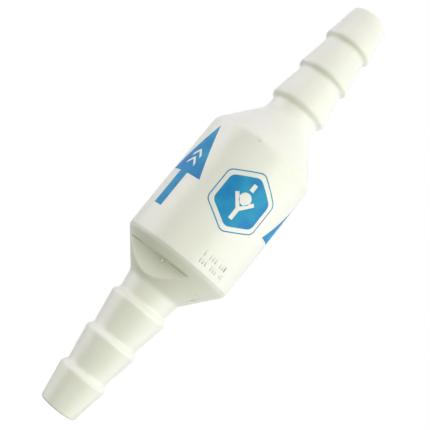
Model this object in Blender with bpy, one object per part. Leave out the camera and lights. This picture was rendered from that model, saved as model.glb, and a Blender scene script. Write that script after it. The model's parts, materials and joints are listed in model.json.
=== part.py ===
"""An in-line check valve for hose, turned about the Z axis, in metres.

The gas enters at the bottom (z = 0) and leaves at the top. A cap with the inlet barbs closes a
housing with the outlet barbs. Between them sit a filter, a seat, a sprung poppet and its guide.
"""

import math

import bmesh
import bpy

MM = 0.001

# Driving dimensions of the outside
BODY_RADIUS = 7.5 * MM
BODY_LENGTH = 17.0 * MM          # from rim to rim
SHOULDER_LENGTH = 4.6 * MM       # each cone between the body and a neck
CAP_SHOULDER_RADIUS = 3.75 * MM
HOUSING_SHOULDER_RADIUS = 3.95 * MM
RIM_TO_FIRST_RIDGE = 7.6 * MM
RIDGE_PITCH = 5.3 * MM
TIP_LENGTH = 4.9 * MM
RIDGE_RADII = (3.4 * MM, 3.7 * MM, 4.0 * MM)   # from the tip towards the body
BARB_DROP = 0.82 * MM            # how far each barb tapers below its ridge
BARB_BACK = 0.65 * MM            # length of the slope behind each ridge
NECK_RADIUS = 3.4 * MM
NECK_FILLET = 1.95 * MM
TIP_EDGE = 0.15 * MM
RIM_LAND = 0.15 * MM
RIM_EDGE = 0.45 * MM
BORE_RADIUS = 1.75 * MM

# Wrench flats on the cap's cone
FLAT_DISTANCE = 4.3 * MM         # from the axis
FLAT_LEDGE = 1.3 * MM            # below the rim

# Driving dimensions of the inside
GAP = 0.05 * MM                  # between pieces that rest on each other
RING_EDGE = 0.08 * MM            # bevel on a flat ring
THIN_EDGE = 0.05 * MM            # bevel on a thin washer
HOUSING_BORE = 6.0 * MM
SPIGOT_RADIUS = 5.9 * MM
SPIGOT_LENGTH = 4.9 * MM
SPIGOT_EDGE = 0.3 * MM
GROOVE_CENTRE = 2.5 * MM         # above the cap's rim
GROOVE_WIDTH = 1.1 * MM
GROOVE_RADIUS = 4.9 * MM
BODY_SEAL_WIRE = 0.5 * MM        # section radius of the body's O-ring

FILTER_POCKET_RADIUS = 3.2 * MM
FILTER_POCKET_DEPTH = 2.8 * MM   # below the seat's pocket
FILTER_LEDGE_RADIUS = 2.6 * MM
FILTER_FLARE = 1.7 * MM
FILTER_THICKNESS = 1.5 * MM
FILTER_RING_THICKNESS = 0.8 * MM
FILTER_RING_BORE = 2.3 * MM

SEAT_POCKET_RADIUS = 4.1 * MM
SEAT_POCKET_FLOOR = 0.3 * MM     # above the cap's rim
GASKET_THICKNESS = 0.5 * MM
GASKET_BORE = 3.25 * MM
SEAT_THICKNESS = 2.2 * MM
SEAT_THROAT = 1.9 * MM
SEAT_CONE = 1.0 * MM             # depth and width of the sealing cone
SEAT_LEAD_IN = 0.7 * MM
SEAT_RING_THICKNESS = 0.7 * MM
SEAT_RING_BORE = 3.5 * MM

POPPET_HEAD_RADIUS = 3.1 * MM
POPPET_HEAD_THICKNESS = 0.85 * MM
POPPET_HEAD_EDGE = 0.2 * MM
POPPET_NOSE_RADIUS = 1.78 * MM
POPPET_SEAL_RADIUS = 2.25 * MM
POPPET_SEAL_WIRE = 0.42 * MM
POPPET_BOSS_RADIUS = 1.5 * MM
STEM_RADIUS = 0.8 * MM
STEM_LENGTH = 10.1 * MM          # above the head
STEM_TIP_EDGE = 0.15 * MM
CLIP_GROOVE_RADIUS = 0.58 * MM
CLIP_THICKNESS = 0.3 * MM
CLIP_BELOW_TIP = 0.7 * MM        # from the clip's lower side to the stem's end
LIFT = 1.5 * MM

CLAMP_WASHER_RADIUS = 2.0 * MM
CLAMP_WASHER_THICKNESS = 0.5 * MM
CLAMP_WASHER_BEVEL = 0.3 * MM
SCREW_HEAD_RADIUS = 1.1 * MM
SCREW_HEAD_HEIGHT = 0.5 * MM
SCREW_SHANK_RADIUS = 0.5 * MM
SCREW_SHANK_LENGTH = 1.75 * MM
SCREW_SLOT_WIDTH = 0.35 * MM
SCREW_SLOT_DEPTH = 0.25 * MM

SPRING_WASHER_RADIUS = 2.5 * MM
SPRING_WASHER_THICKNESS = 0.25 * MM
SPRING_RADIUS = 1.95 * MM        # of the coil, at the wire's centre
SPRING_WIRE = 0.2 * MM           # radius of the wire
SPRING_LENGTH = 5.2 * MM
SPRING_ACTIVE_TURNS = 4.5
SPRING_END_TURNS = 1.25
SPRING_END_LOOSENESS = 1.15      # the closed turns' pitch over the wire's diameter
SPRING_POINTS_PER_TURN = 14

UPPER_WASHER_THICKNESS = 0.35 * MM
BUMPER_RADIUS = 1.5 * MM
BUMPER_BORE = 1.0 * MM
BUMPER_LENGTH = 0.7 * MM

HUB_RADIUS = 2.3 * MM
HUB_BORE = 1.4 * MM
HUB_HEIGHT = 2.5 * MM
SPIDER_RADIUS = 5.9 * MM
SPIDER_WINDOW_RADIUS = 4.9 * MM
SPIDER_RIM_HEIGHT = 2.05 * MM
SPOKE_COUNT = 3
SPOKE_WIDTH = 1.2 * MM

BUSH_BORE = 0.85 * MM
BUSH_RADIUS = 1.35 * MM
BUSH_FLANGE_RADIUS = 1.9 * MM
BUSH_FLANGE_HEIGHT = 0.3 * MM

LOCK_GROOVE_RADIUS = 6.4 * MM
LOCK_GROOVE_WIDTH = 0.7 * MM
LOCK_RING_WIRE = 0.28 * MM
LOCK_RING_RADIUS = 6.05 * MM
LOCK_RING_SWEEP = math.radians(318)
LOCK_RING_POINTS = 40

CLIP_OUTER_RADIUS = 1.7 * MM
CLIP_BORE = 0.64 * MM
CLIP_OPENING = 1.1 * MM

OUTLET_CHAMBER_RADIUS = 5.2 * MM
OUTLET_CHAMBER_HEIGHT = 2.9 * MM
OUTLET_FLARE = 4.8 * MM          # the cone from the chamber to the bore

# Levels along the axis
STEM_OUTSIDE = TIP_LENGTH + 2 * RIDGE_PITCH + RIM_TO_FIRST_RIDGE
LOWER_RIM = STEM_OUTSIDE
UPPER_RIM = LOWER_RIM + BODY_LENGTH
TOTAL_LENGTH = UPPER_RIM + STEM_OUTSIDE
SPIGOT_TOP = LOWER_RIM + SPIGOT_LENGTH
SEAT_FLOOR = LOWER_RIM + SEAT_POCKET_FLOOR
FILTER_FLOOR = SEAT_FLOOR - FILTER_POCKET_DEPTH
GASKET_BOTTOM = SEAT_FLOOR + GAP
SEAT_BOTTOM = GASKET_BOTTOM + GASKET_THICKNESS + GAP
SEAT_TOP = SEAT_BOTTOM + SEAT_THICKNESS

# The seal rests on the sealing cone, which leans at 45 degrees from the throat to the seat's top
SEAL_CENTRE = (
    SEAT_TOP
    - SEAT_CONE
    + (POPPET_SEAL_RADIUS - SEAT_THROAT)
    + (POPPET_SEAL_WIRE + GAP) * math.sqrt(2)
)
HEAD_BOTTOM = SEAL_CENTRE + POPPET_SEAL_WIRE + GAP
HEAD_TOP = HEAD_BOTTOM + POPPET_HEAD_THICKNESS
NOSE_BOTTOM = SEAL_CENTRE - POPPET_SEAL_WIRE * 0.8
CLAMP_WASHER_TOP = NOSE_BOTTOM - GAP
CLAMP_WASHER_BOTTOM = CLAMP_WASHER_TOP - CLAMP_WASHER_THICKNESS
STEM_TOP = HEAD_TOP + STEM_LENGTH
LOWER_WASHER_BOTTOM = HEAD_TOP + GAP
SPRING_BOTTOM = LOWER_WASHER_BOTTOM + SPRING_WASHER_THICKNESS + GAP
SPRING_TOP = SPRING_BOTTOM + SPRING_LENGTH
UPPER_WASHER_BOTTOM = SPRING_TOP + GAP
HUB_BOTTOM = UPPER_WASHER_BOTTOM + UPPER_WASHER_THICKNESS + GAP
HUB_TOP = HUB_BOTTOM + HUB_HEIGHT
RIM_TOP = HUB_BOTTOM + SPIDER_RIM_HEIGHT
BUMPER_BOTTOM = UPPER_WASHER_BOTTOM - GAP - BUMPER_LENGTH
BOSS_TOP = BUMPER_BOTTOM - GAP - LIFT
CLIP_BOTTOM = STEM_TOP - CLIP_BELOW_TIP
LOCK_GROOVE_TOP = HUB_BOTTOM - GAP
CHAMBER_FLOOR = RIM_TOP + GAP
CHAMBER_TOP = CHAMBER_FLOOR + OUTLET_CHAMBER_HEIGHT

SHELL_SIDES = 40
RING_SIDES = 32
SMALL_SIDES = 24
SECTION_POINTS = 8               # around an O-ring's section
WINDOW_POINTS = 7                # along each arc of a spider's window
CUT_MARGIN = 3 * MM

# Finishes: colour, roughness, metallic
FINISHES = {
    "white_plastic": ((0.86, 0.87, 0.84), 0.32, 0.0),
    "black_rubber": ((0.03, 0.03, 0.032), 0.6, 0.0),
    "red_silicone": ((0.55, 0.09, 0.05), 0.5, 0.0),
    "brass": ((0.72, 0.53, 0.24), 0.3, 1.0),
    "steel": ((0.62, 0.63, 0.64), 0.25, 1.0),
    "sintered_bronze": ((0.5, 0.34, 0.18), 0.8, 1.0),
    "acetal": ((0.78, 0.78, 0.74), 0.4, 0.0),
    "ptfe": ((0.9, 0.9, 0.9), 0.45, 0.0),
}


def clear_scene():
    for old in list(bpy.data.objects):
        bpy.data.objects.remove(old, do_unlink=True)


def make_finish(name):
    """A Principled material with the finish's colour, roughness and metallic value."""
    material = bpy.data.materials.get(name)
    if material:
        return material
    colour, roughness, metallic = FINISHES[name]
    material = bpy.data.materials.new(name)
    material.use_nodes = True
    shader = material.node_tree.nodes["Principled BSDF"]
    shader.inputs["Base Color"].default_value = (*colour, 1)
    shader.inputs["Roughness"].default_value = roughness
    shader.inputs["Metallic"].default_value = metallic
    return material


def add_mesh(name, bm, finish):
    """Turns a bmesh into an object with outward faces and crisp edges only where it bends."""
    bmesh.ops.recalc_face_normals(bm, faces=bm.faces)
    mesh = bpy.data.meshes.new(name)
    bm.to_mesh(mesh)
    bm.free()
    mesh.shade_smooth()
    mesh.set_sharp_from_angle(angle=math.radians(30))
    piece = bpy.data.objects.new(name, mesh)
    bpy.context.collection.objects.link(piece)
    mesh.materials.append(make_finish(finish))
    return piece


def turned(name, outline, finish, sides=RING_SIDES):
    """Spins a (radius, height) outline about Z. An outline that starts on the axis stays open there."""
    bm = bmesh.new()
    points = [bm.verts.new((radius, 0, height)) for radius, height in outline]
    pairs = list(zip(points, points[1:]))
    if outline[0][0] > 0:
        pairs.append((points[-1], points[0]))
    edges = [bm.edges.new(pair) for pair in pairs]
    bmesh.ops.spin(
        bm,
        geom=points + edges,
        cent=(0, 0, 0),
        axis=(0, 0, 1),
        angle=math.tau,
        steps=sides,
        use_merge=True,
    )
    bmesh.ops.remove_doubles(bm, verts=bm.verts, dist=1e-7)
    return add_mesh(name, bm, finish)


def ring(name, bore, radius, bottom, top, finish, edge=RING_EDGE, sides=RING_SIDES):
    """A flat ring whose outer edges are bevelled."""
    outline = [
        (bore, bottom),
        (radius - edge, bottom),
        (radius, bottom + edge),
        (radius, top - edge),
        (radius - edge, top),
        (bore, top),
    ]
    return turned(name, outline, finish, sides)


def o_ring(name, radius, height, wire, finish):
    """A round-section ring."""
    outline = []
    for step in range(SECTION_POINTS):
        turn = math.tau * step / SECTION_POINTS
        outline.append((radius + wire * math.cos(turn), height + wire * math.sin(turn)))
    return turned(name, outline, finish)


def wire_along(name, points, wire, finish, bevel_resolution):
    """A round wire with closed ends along the points."""
    curve = bpy.data.curves.new(name, "CURVE")
    curve.dimensions = "3D"
    curve.bevel_depth = wire
    curve.bevel_resolution = bevel_resolution
    curve.use_fill_caps = True
    spline = curve.splines.new("POLY")
    spline.points.add(len(points) - 1)
    for place, point in zip(spline.points, points):
        place.co = (*point, 1)
    curve.materials.append(make_finish(finish))
    piece = bpy.data.objects.new(name, curve)
    bpy.context.collection.objects.link(piece)
    return piece


def box_cutter(name, low, high):
    """A hidden box from its lowest to its highest corner."""
    bm = bmesh.new()
    bmesh.ops.create_cube(bm, size=1)
    for vert in bm.verts:
        for axis in range(3):
            vert.co[axis] = high[axis] if vert.co[axis] > 0 else low[axis]
    return hide_cutter(add_mesh(name, bm, "steel"))


def hide_cutter(cutter):
    cutter.hide_render = True
    cutter.display_type = "WIRE"
    return cutter


def cut(piece, cutter):
    modifier = piece.modifiers.new("cut_" + cutter.name, "BOOLEAN")
    modifier.operation = "DIFFERENCE"
    modifier.solver = "EXACT"
    modifier.object = cutter


def barb_outline():
    """The barbed stem's outer side, as (radius, distance from its tip), from the tip to the neck."""
    tip_radius = RIDGE_RADII[0] - BARB_DROP
    outline = [(tip_radius - TIP_EDGE, 0), (tip_radius, TIP_EDGE)]
    roots = [radius - BARB_DROP for radius in RIDGE_RADII[1:]] + [NECK_RADIUS]
    for index, (ridge, root) in enumerate(zip(RIDGE_RADII, roots)):
        place = TIP_LENGTH + index * RIDGE_PITCH
        outline.append((ridge, place))
        outline.append((root, place + BARB_BACK))
    return outline


def curved(start, corner, end, steps):
    """Points on the smooth curve from start to end that is pulled towards the corner."""
    points = []
    for step in range(1, steps):
        t = step / steps
        weights = ((1 - t) ** 2, 2 * t * (1 - t), t**2)
        mixed = [sum(w * p[axis] for w, p in zip(weights, (start, corner, end))) for axis in (0, 1)]
        points.append(tuple(mixed))
    return points


def cap_outside():
    """From the inlet tip up to the cap's rim."""
    shoulder = LOWER_RIM - SHOULDER_LENGTH
    return barb_outline() + [
        (CAP_SHOULDER_RADIUS, shoulder),
        (BODY_RADIUS, LOWER_RIM - RIM_LAND),
        (BODY_RADIUS, LOWER_RIM),
    ]


def cap_spigot():
    """The spigot inside the housing, with the O-ring's groove, from the rim to its top."""
    groove_low = LOWER_RIM + GROOVE_CENTRE - GROOVE_WIDTH / 2
    groove_high = groove_low + GROOVE_WIDTH
    return [
        (SPIGOT_RADIUS, LOWER_RIM),
        (SPIGOT_RADIUS, groove_low),
        (GROOVE_RADIUS, groove_low),
        (GROOVE_RADIUS, groove_high),
        (SPIGOT_RADIUS, groove_high),
        (SPIGOT_RADIUS, SPIGOT_TOP - SPIGOT_EDGE),
        (SPIGOT_RADIUS - SPIGOT_EDGE, SPIGOT_TOP),
    ]


def cap_inside():
    """The pockets for the seat and the filter, then the flare into the inlet bore."""
    return [
        (SEAT_POCKET_RADIUS, SPIGOT_TOP),
        (SEAT_POCKET_RADIUS, SEAT_FLOOR),
        (FILTER_POCKET_RADIUS, SEAT_FLOOR),
        (FILTER_POCKET_RADIUS, FILTER_FLOOR),
        (FILTER_LEDGE_RADIUS, FILTER_FLOOR),
        (BORE_RADIUS, FILTER_FLOOR - FILTER_FLARE),
        (BORE_RADIUS, 0),
    ]


def make_inlet_cap():
    cap = turned("inlet_cap", cap_outside() + cap_spigot() + cap_inside(), "white_plastic", SHELL_SIDES)
    reach = BODY_RADIUS + CUT_MARGIN
    low = LOWER_RIM - SHOULDER_LENGTH - CUT_MARGIN
    high = LOWER_RIM - FLAT_LEDGE
    cut(cap, box_cutter("flat_cutter_front", (-reach, -reach, low), (reach, -FLAT_DISTANCE, high)))
    cut(cap, box_cutter("flat_cutter_back", (-reach, FLAT_DISTANCE, low), (reach, reach, high)))


def housing_outside():
    """From the housing's open end up to the outlet tip."""
    shoulder = UPPER_RIM + SHOULDER_LENGTH
    slope = (BODY_RADIUS - HOUSING_SHOULDER_RADIUS) / SHOULDER_LENGTH
    rim_low = (BODY_RADIUS, UPPER_RIM - RIM_EDGE)
    rim_corner = (BODY_RADIUS, UPPER_RIM)
    rim_high = (BODY_RADIUS - slope * RIM_EDGE, UPPER_RIM + RIM_EDGE)
    cone_end = (HOUSING_SHOULDER_RADIUS, shoulder)
    neck_corner = (NECK_RADIUS, shoulder + (HOUSING_SHOULDER_RADIUS - NECK_RADIUS) / slope)
    neck = (NECK_RADIUS, shoulder + NECK_FILLET)
    outline = [(BODY_RADIUS, LOWER_RIM + GAP), rim_low]
    outline += curved(rim_low, rim_corner, rim_high, 3)
    outline += [rim_high, cone_end]
    outline += curved(cone_end, neck_corner, neck, 4)
    outline.append(neck)
    outline += [(radius, TOTAL_LENGTH - place) for radius, place in reversed(barb_outline())]
    return outline


def housing_inside():
    """From the outlet tip's bore down to the open end."""
    return [
        (BORE_RADIUS, TOTAL_LENGTH),
        (BORE_RADIUS, CHAMBER_TOP + OUTLET_FLARE),
        (OUTLET_CHAMBER_RADIUS, CHAMBER_TOP),
        (OUTLET_CHAMBER_RADIUS, CHAMBER_FLOOR),
        (HOUSING_BORE, CHAMBER_FLOOR),
        (HOUSING_BORE, LOCK_GROOVE_TOP),
        (LOCK_GROOVE_RADIUS, LOCK_GROOVE_TOP),
        (LOCK_GROOVE_RADIUS, LOCK_GROOVE_TOP - LOCK_GROOVE_WIDTH),
        (HOUSING_BORE, LOCK_GROOVE_TOP - LOCK_GROOVE_WIDTH),
        (HOUSING_BORE, LOWER_RIM + GAP),
    ]


def make_outlet_housing():
    turned("outlet_housing", housing_outside() + housing_inside(), "white_plastic", SHELL_SIDES)


def make_body_seal():
    radius = GROOVE_RADIUS + GAP + BODY_SEAL_WIRE
    o_ring("body_seal_ring", radius, LOWER_RIM + GROOVE_CENTRE, BODY_SEAL_WIRE, "black_rubber")


def make_filter():
    bottom = FILTER_FLOOR + GAP
    top = bottom + FILTER_THICKNESS
    radius = FILTER_POCKET_RADIUS - 2 * GAP
    outline = [(0, bottom), (radius, bottom), (radius, top), (0, top)]
    turned("inlet_filter", outline, "sintered_bronze")
    ring_bottom = top + GAP
    ring_top = ring_bottom + FILTER_RING_THICKNESS
    ring("filter_retaining_ring", FILTER_RING_BORE, radius, ring_bottom, ring_top, "steel")


def make_seat():
    """The gasket, the seat with its sealing cone, and the ring that holds them in the cap."""
    radius = SEAT_POCKET_RADIUS - GAP
    ring("seat_gasket", GASKET_BORE, radius, GASKET_BOTTOM, GASKET_BOTTOM + GASKET_THICKNESS, "ptfe")
    outline = [
        (SEAT_THROAT + SEAT_LEAD_IN, SEAT_BOTTOM),
        (radius, SEAT_BOTTOM),
        (radius, SEAT_TOP),
        (SEAT_THROAT + SEAT_CONE, SEAT_TOP),
        (SEAT_THROAT, SEAT_TOP - SEAT_CONE),
        (SEAT_THROAT, SEAT_BOTTOM + SEAT_LEAD_IN),
    ]
    turned("seat_insert", outline, "brass")
    ring_bottom = SEAT_TOP + GAP
    ring_top = ring_bottom + SEAT_RING_THICKNESS
    ring("seat_retaining_ring", SEAT_RING_BORE, radius, ring_bottom, ring_top, "steel")


def poppet_outline():
    """From the screw hole in the nose, out over the head and up the stem to its end."""
    hole_radius = SCREW_SHANK_RADIUS + GAP
    hole_top = CLAMP_WASHER_BOTTOM - GAP + SCREW_SHANK_LENGTH + GAP
    groove_low = CLIP_BOTTOM - GAP
    groove_high = CLIP_BOTTOM + CLIP_THICKNESS + GAP
    return [
        (0, hole_top),
        (hole_radius, hole_top),
        (hole_radius, NOSE_BOTTOM),
        (POPPET_NOSE_RADIUS, NOSE_BOTTOM),
        (POPPET_NOSE_RADIUS, HEAD_BOTTOM),
        (POPPET_HEAD_RADIUS - POPPET_HEAD_EDGE, HEAD_BOTTOM),
        (POPPET_HEAD_RADIUS, HEAD_BOTTOM + POPPET_HEAD_EDGE),
        (POPPET_HEAD_RADIUS, HEAD_TOP - POPPET_HEAD_EDGE),
        (POPPET_HEAD_RADIUS - POPPET_HEAD_EDGE, HEAD_TOP),
        (POPPET_BOSS_RADIUS, HEAD_TOP),
        (POPPET_BOSS_RADIUS, BOSS_TOP),
        (STEM_RADIUS, BOSS_TOP),
        (STEM_RADIUS, groove_low),
        (CLIP_GROOVE_RADIUS, groove_low),
        (CLIP_GROOVE_RADIUS, groove_high),
        (STEM_RADIUS, groove_high),
        (STEM_RADIUS, STEM_TOP - STEM_TIP_EDGE),
        (STEM_RADIUS - STEM_TIP_EDGE, STEM_TOP),
        (0, STEM_TOP),
    ]


def make_poppet():
    turned("poppet", poppet_outline(), "acetal", SMALL_SIDES)
    o_ring("poppet_seal", POPPET_SEAL_RADIUS, SEAL_CENTRE, POPPET_SEAL_WIRE, "red_silicone")
    bevelled = CLAMP_WASHER_BOTTOM + CLAMP_WASHER_BEVEL
    outline = [
        (SCREW_SHANK_RADIUS + GAP, CLAMP_WASHER_BOTTOM),
        (CLAMP_WASHER_RADIUS - CLAMP_WASHER_BEVEL, CLAMP_WASHER_BOTTOM),
        (CLAMP_WASHER_RADIUS, bevelled),
        (CLAMP_WASHER_RADIUS, CLAMP_WASHER_TOP),
        (SCREW_SHANK_RADIUS + GAP, CLAMP_WASHER_TOP),
    ]
    turned("seal_clamp_washer", outline, "steel", SMALL_SIDES)
    bottom = LOWER_WASHER_BOTTOM
    top = bottom + SPRING_WASHER_THICKNESS
    bore = POPPET_BOSS_RADIUS + GAP
    ring("poppet_spring_washer", bore, SPRING_WASHER_RADIUS, bottom, top, "steel", THIN_EDGE, SMALL_SIDES)


def make_clamp_screw():
    """The slotted screw that clamps the seal's washer to the poppet's nose."""
    head_top = CLAMP_WASHER_BOTTOM - GAP
    head_bottom = head_top - SCREW_HEAD_HEIGHT
    outline = [
        (0, head_bottom),
        (SCREW_HEAD_RADIUS * 0.8, head_bottom),
        (SCREW_HEAD_RADIUS, head_bottom + SCREW_HEAD_HEIGHT * 0.4),
        (SCREW_HEAD_RADIUS, head_top),
        (SCREW_SHANK_RADIUS, head_top),
        (SCREW_SHANK_RADIUS, head_top + SCREW_SHANK_LENGTH),
        (0, head_top + SCREW_SHANK_LENGTH),
    ]
    screw = turned("seal_clamp_screw", outline, "steel", SMALL_SIDES)
    reach = SCREW_HEAD_RADIUS + CUT_MARGIN
    low = (-reach, -SCREW_SLOT_WIDTH / 2, head_bottom - CUT_MARGIN)
    high = (reach, SCREW_SLOT_WIDTH / 2, head_bottom + SCREW_SLOT_DEPTH)
    cut(screw, box_cutter("screw_slot_cutter", low, high))


def spring_height(turn):
    """How far the wire has climbed after some turns: slowly in the closed ends, evenly between."""
    usable = SPRING_LENGTH - 2 * SPRING_WIRE
    end_pitch = 2 * SPRING_WIRE * SPRING_END_LOOSENESS
    active_pitch = (usable - 2 * SPRING_END_TURNS * end_pitch) / SPRING_ACTIVE_TURNS
    low = min(turn, SPRING_END_TURNS) * end_pitch
    middle = min(max(turn - SPRING_END_TURNS, 0), SPRING_ACTIVE_TURNS) * active_pitch
    high = max(turn - SPRING_END_TURNS - SPRING_ACTIVE_TURNS, 0) * end_pitch
    return low + middle + high


def make_spring():
    turns = SPRING_ACTIVE_TURNS + 2 * SPRING_END_TURNS
    count = round(turns * SPRING_POINTS_PER_TURN)
    points = []
    for step in range(count + 1):
        turn = turns * step / count
        angle = math.tau * turn
        height = SPRING_BOTTOM + SPRING_WIRE + spring_height(turn)
        points.append((SPRING_RADIUS * math.cos(angle), SPRING_RADIUS * math.sin(angle), height))
    wire_along("return_spring", points, SPRING_WIRE, "steel", 1)


def make_stops():
    """The washer above the spring, and the soft ring that the poppet's boss meets when it is open."""
    bottom = UPPER_WASHER_BOTTOM
    top = bottom + UPPER_WASHER_THICKNESS
    bore = STEM_RADIUS + 4 * GAP
    ring("spring_seat_washer", bore, HUB_RADIUS, bottom, top, "steel", THIN_EDGE, SMALL_SIDES)
    bumper_top = BUMPER_BOTTOM + BUMPER_LENGTH
    low = BUMPER_BOTTOM
    ring("stop_bumper", BUMPER_BORE, BUMPER_RADIUS, low, bumper_top, "black_rubber", RING_EDGE, SMALL_SIDES)


def spider_window(index):
    """A hidden sector between two spokes, cut to the spokes' parallel sides."""
    step = math.tau / SPOKE_COUNT
    outline = []
    for radius, direction in ((SPIDER_WINDOW_RADIUS, 1), (HUB_RADIUS, -1)):
        reach = step / 2 - math.asin(SPOKE_WIDTH / 2 / radius)
        for corner in range(WINDOW_POINTS):
            across = 2 * corner / (WINDOW_POINTS - 1) - 1
            angle = step * index + direction * reach * across
            outline.append((radius * math.cos(angle), radius * math.sin(angle)))
    bm = bmesh.new()
    low = HUB_BOTTOM - CUT_MARGIN
    face = bm.faces.new([bm.verts.new((x, y, low)) for x, y in outline])
    grown = bmesh.ops.extrude_face_region(bm, geom=[face])
    moved = [item for item in grown["geom"] if isinstance(item, bmesh.types.BMVert)]
    bmesh.ops.translate(bm, verts=moved, vec=(0, 0, HUB_HEIGHT + 2 * CUT_MARGIN))
    return hide_cutter(add_mesh("window_cutter_%d" % index, bm, "steel"))


def make_spider():
    """The spoked guide that holds the bush in the middle of the housing."""
    step_radius = SPIDER_WINDOW_RADIUS + 2 * GAP
    outline = [
        (HUB_BORE, HUB_BOTTOM),
        (SPIDER_RADIUS, HUB_BOTTOM),
        (SPIDER_RADIUS, RIM_TOP),
        (step_radius, RIM_TOP),
        (HUB_RADIUS + 2 * GAP, HUB_TOP),
        (HUB_BORE, HUB_TOP),
    ]
    spider = turned("guide_spider", outline, "brass")
    for index in range(SPOKE_COUNT):
        cut(spider, spider_window(index))


def make_bush():
    """The plain bush that the stem slides in, with a flange on top of the hub."""
    flange_bottom = HUB_TOP + GAP
    flange_top = flange_bottom + BUSH_FLANGE_HEIGHT
    outline = [
        (BUSH_BORE, HUB_BOTTOM + 2 * GAP),
        (BUSH_RADIUS, HUB_BOTTOM + 2 * GAP),
        (BUSH_RADIUS, flange_bottom),
        (BUSH_FLANGE_RADIUS, flange_bottom),
        (BUSH_FLANGE_RADIUS, flange_top),
        (BUSH_BORE, flange_top),
    ]
    turned("guide_bush", outline, "ptfe", SMALL_SIDES)


def make_lock_ring():
    """The open wire ring in the housing's groove, below the spider's rim."""
    height = LOCK_GROOVE_TOP - LOCK_GROOVE_WIDTH / 2
    points = []
    for place in range(LOCK_RING_POINTS + 1):
        angle = LOCK_RING_SWEEP * (place / LOCK_RING_POINTS - 0.5)
        points.append((LOCK_RING_RADIUS * math.cos(angle), LOCK_RING_RADIUS * math.sin(angle), height))
    wire_along("guide_lock_ring", points, LOCK_RING_WIRE, "steel", 2)


def make_stem_clip():
    """The open clip in the stem's groove."""
    top = CLIP_BOTTOM + CLIP_THICKNESS
    clip = ring("stem_clip", CLIP_BORE, CLIP_OUTER_RADIUS, CLIP_BOTTOM, top, "steel", THIN_EDGE, SMALL_SIDES)
    half = CLIP_OPENING / 2
    low = (-half, 0, CLIP_BOTTOM - CUT_MARGIN)
    high = (half, CLIP_OUTER_RADIUS + CUT_MARGIN, top + CUT_MARGIN)
    cut(clip, box_cutter("clip_opening_cutter", low, high))


def main():
    clear_scene()
    make_outlet_housing()
    make_inlet_cap()
    make_body_seal()
    make_filter()
    make_seat()
    make_poppet()
    make_clamp_screw()
    make_spring()
    make_stops()
    make_spider()
    make_bush()
    make_lock_ring()
    make_stem_clip()


main()
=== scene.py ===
import json
import math

import bmesh
import bpy
from mathutils import Matrix, Quaternion, Vector


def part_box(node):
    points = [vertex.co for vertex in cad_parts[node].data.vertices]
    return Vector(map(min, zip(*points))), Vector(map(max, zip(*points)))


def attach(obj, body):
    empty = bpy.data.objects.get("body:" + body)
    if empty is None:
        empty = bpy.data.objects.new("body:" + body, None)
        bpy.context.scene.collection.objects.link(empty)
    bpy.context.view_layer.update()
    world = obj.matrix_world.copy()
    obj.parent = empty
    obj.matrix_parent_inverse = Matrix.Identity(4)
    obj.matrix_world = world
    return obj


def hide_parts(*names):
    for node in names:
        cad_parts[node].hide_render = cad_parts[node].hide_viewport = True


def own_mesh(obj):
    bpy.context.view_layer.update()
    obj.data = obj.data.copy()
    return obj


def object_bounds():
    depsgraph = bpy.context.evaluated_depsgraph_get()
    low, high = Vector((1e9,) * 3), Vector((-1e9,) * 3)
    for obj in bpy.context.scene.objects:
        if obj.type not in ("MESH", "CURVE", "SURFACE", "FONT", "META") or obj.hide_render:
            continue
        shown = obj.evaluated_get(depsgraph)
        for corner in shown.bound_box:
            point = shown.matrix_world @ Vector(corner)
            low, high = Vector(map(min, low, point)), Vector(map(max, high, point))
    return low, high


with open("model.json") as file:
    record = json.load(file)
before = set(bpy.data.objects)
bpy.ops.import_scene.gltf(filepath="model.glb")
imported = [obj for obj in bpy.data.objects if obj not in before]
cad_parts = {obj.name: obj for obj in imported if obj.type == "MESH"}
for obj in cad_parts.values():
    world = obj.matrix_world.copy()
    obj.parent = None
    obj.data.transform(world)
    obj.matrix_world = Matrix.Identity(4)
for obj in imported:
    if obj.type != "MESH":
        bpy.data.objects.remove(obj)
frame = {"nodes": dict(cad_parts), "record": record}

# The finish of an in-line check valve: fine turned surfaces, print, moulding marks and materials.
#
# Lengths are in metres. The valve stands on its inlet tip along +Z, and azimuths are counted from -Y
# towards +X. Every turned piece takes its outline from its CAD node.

MM = 0.001
CAD_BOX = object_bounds()

# The body, from the frame
CAP_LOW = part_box("inlet_cap")[0]
HOUSING_LOW, HOUSING_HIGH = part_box("outlet_housing")
BODY_RADIUS = HOUSING_HIGH.x
RIM = HOUSING_LOW.z
SEAM_GAP = 0.05 * MM             # from the cap's face up to the housing's
CAP_RIM = RIM - SEAM_GAP
CYLINDER_LENGTH = 17 * MM
UPPER_RIM = CAP_RIM + CYLINDER_LENGTH

# Camera
CAMERA_AZIMUTH = math.radians(27.1)
CAMERA_DISTANCE = 108.2 * MM
CAMERA_HEIGHT = 15.3 * MM
CAMERA_ROLL = math.radians(38.9)
CAMERA_FIELD = math.radians(27.8)
AIM_HEIGHT = 30.4 * MM
AIM_SIDE = 0.2 * MM              # to the camera's right
SENSOR_WIDTH = 36                # in Blender's millimetres
NEAREST_SEEN = 5 * MM

# The floor
FLOOR_SIZE = 6
FLOOR_DEPTH = 0.25               # below the valve's foot
FLOOR_GLOW = 0.75

# The room's light
FILL_BELOW = (0.175, 0.2, 0.08, 1)
FILL_ABOVE = (0.43, 0.42, 0.4, 1)
REFLECTED_COLOUR = (1.16, 1.15, 1.34, 1)
DARK_BEHIND = -0.95              # cosine of the direction from the camera's side: darkest below this
BRIGHT_BESIDE = -0.35            # and at its full brightness above this
DARKEST = 0.55                   # share of the full brightness
LIGHT_DISTANCE = 0.35            # from the valve's middle

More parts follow.
